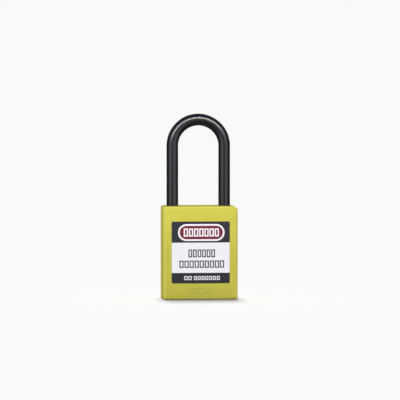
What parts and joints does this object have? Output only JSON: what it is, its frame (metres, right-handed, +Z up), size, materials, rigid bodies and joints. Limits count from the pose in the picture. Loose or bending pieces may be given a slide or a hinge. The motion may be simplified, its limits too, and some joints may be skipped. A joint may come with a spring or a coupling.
{
  "type": "safety padlock",
  "caption": "Slim lockout padlock with a tall nylon body, a long nylon shackle, a printed label, and a pin-tumbler cylinder that turns a cam between two locking balls.",
  "frame": {"origin": "centre of the case's lower rim, where it stands", "axes": "+Z up through the shackle, +X from the heel leg to the toe leg, -Y out of the front label"},
  "size_m": [0.038, 0.02, 0.0941],
  "materials": {
    "case_nylon": "fine-textured moulded nylon",
    "shackle_nylon": "satin moulded nylon",
    "insert_nylon": "glass-filled nylon, satin",
    "front_print": "printed vinyl under clear film",
    "rear_print": "printed vinyl for writing on",
    "steel": "turned",
    "spring_steel": "drawn wire",
    "ball_steel": "polished",
    "housing_brass": "machined",
    "plug_brass": "machined, faced nose",
    "pin_brass": "turned"
  },
  "bodies": {
    "case": {"body_shell": "case_nylon", "bottom_cover": "case_nylon", "cover_pin_heel": "steel", "cover_pin_toe": "steel", "front_label": "front_print", "rear_label": "rear_print", "core_carrier": "insert_nylon", "latch_block": "insert_nylon", "cylinder_housing": "housing_brass", "chamber_cap": "housing_brass", "shackle_spring": "spring_steel", "pin_spring_1": "spring_steel", "pin_spring_2": "spring_steel", "pin_spring_3": "spring_steel", "pin_spring_4": "spring_steel", "pin_spring_5": "spring_steel", "pin_spring_6": "spring_steel"},
    "shackle": {"shackle": "shackle_nylon"},
    "core": {"plug": "plug_brass", "plug_clip": "spring_steel", "locking_cam": "steel"},
    "toe_ball": {"locking_ball_toe": "ball_steel"},
    "heel_ball": {"locking_ball_heel": "ball_steel"},
    "key_pin_1": {"key_pin_1": "pin_brass"},
    "driver_pin_1": {"driver_pin_1": "steel"},
    "key_pin_2": {"key_pin_2": "pin_brass"},
    "driver_pin_2": {"driver_pin_2": "steel"},
    "key_pin_3": {"key_pin_3": "pin_brass"},
    "driver_pin_3": {"driver_pin_3": "steel"},
    "key_pin_4": {"key_pin_4": "pin_brass"},
    "driver_pin_4": {"driver_pin_4": "steel"},
    "key_pin_5": {"key_pin_5": "pin_brass"},
    "driver_pin_5": {"driver_pin_5": "steel"},
    "key_pin_6": {"key_pin_6": "pin_brass"},
    "driver_pin_6": {"driver_pin_6": "steel"}
  },
  "joints": [
    {"name": "shackle_lift", "type": "slide", "parent": "case", "child": "shackle", "axis": [0, 0, 1], "range_m": [0, 0.0125], "deforming": ["shackle_spring"]},
    {"name": "plug_turn", "type": "hinge", "parent": "case", "child": "core", "pos_m": [-0.0004, -0.001, 0.0008], "axis": [0, 0, 1], "range_deg": [-90, 0]},
    {"name": "toe_ball_slide", "type": "slide", "parent": "case", "child": "toe_ball", "axis": [1, 0, 0], "range_m": [0, 0.0013]},
    {"name": "heel_ball_slide", "type": "slide", "parent": "case", "child": "heel_ball", "axis": [-1, 0, 0], "range_m": [0, 0.0008]},
    {"name": "key_pin_1_slide", "type": "slide", "parent": "core", "child": "key_pin_1", "axis": [-1, 0, 0], "range_m": [-0.00175, 0]},
    {"name": "key_pin_2_slide", "type": "slide", "parent": "core", "child": "key_pin_2", "axis": [-1, 0, 0], "range_m": [-0.00085, 0]},
    {"name": "key_pin_3_slide", "type": "slide", "parent": "core", "child": "key_pin_3", "axis": [-1, 0, 0], "range_m": [-0.00145, 0]},
    {"name": "key_pin_4_slide", "type": "slide", "parent": "core", "child": "key_pin_4", "axis": [-1, 0, 0], "range_m": [-0.00055, 0]},
    {"name": "key_pin_5_slide", "type": "slide", "parent": "core", "child": "key_pin_5", "axis": [-1, 0, 0], "range_m": [-0.00115, 0]},
    {"name": "key_pin_6_slide", "type": "slide", "parent": "core", "child": "key_pin_6", "axis": [-1, 0, 0], "range_m": [-0.0016, 0]},
    {"name": "driver_pin_1_slide", "type": "slide", "parent": "case", "child": "driver_pin_1", "axis": [0, 1, 0], "range_m": [0, 0.0005], "deforming": ["pin_spring_1"]},
    {"name": "driver_pin_2_slide", "type": "slide", "parent": "case", "child": "driver_pin_2", "axis": [0, 1, 0], "range_m": [0, 0.0005], "deforming": ["pin_spring_2"]},
    {"name": "driver_pin_3_slide", "type": "slide", "parent": "case", "child": "driver_pin_3", "axis": [0, 1, 0], "range_m": [0, 0.0005], "deforming": ["pin_spring_3"]},
    {"name": "driver_pin_4_slide", "type": "slide", "parent": "case", "child": "driver_pin_4", "axis": [0, 1, 0], "range_m": [0, 0.0005], "deforming": ["pin_spring_4"]},
    {"name": "driver_pin_5_slide", "type": "slide", "parent": "case", "child": "driver_pin_5", "axis": [0, 1, 0], "range_m": [0, 0.0005], "deforming": ["pin_spring_5"]},
    {"name": "driver_pin_6_slide", "type": "slide", "parent": "case", "child": "driver_pin_6", "axis": [0, 1, 0], "range_m": [0, 0.0005], "deforming": ["pin_spring_6"]}
  ],
  "couplings": [
    {"joint": "toe_ball_slide", "follows": "plug_turn", "m_per_rad": -0.00082761},
    {"joint": "heel_ball_slide", "follows": "plug_turn", "m_per_rad": -0.0005093}
  ]
}
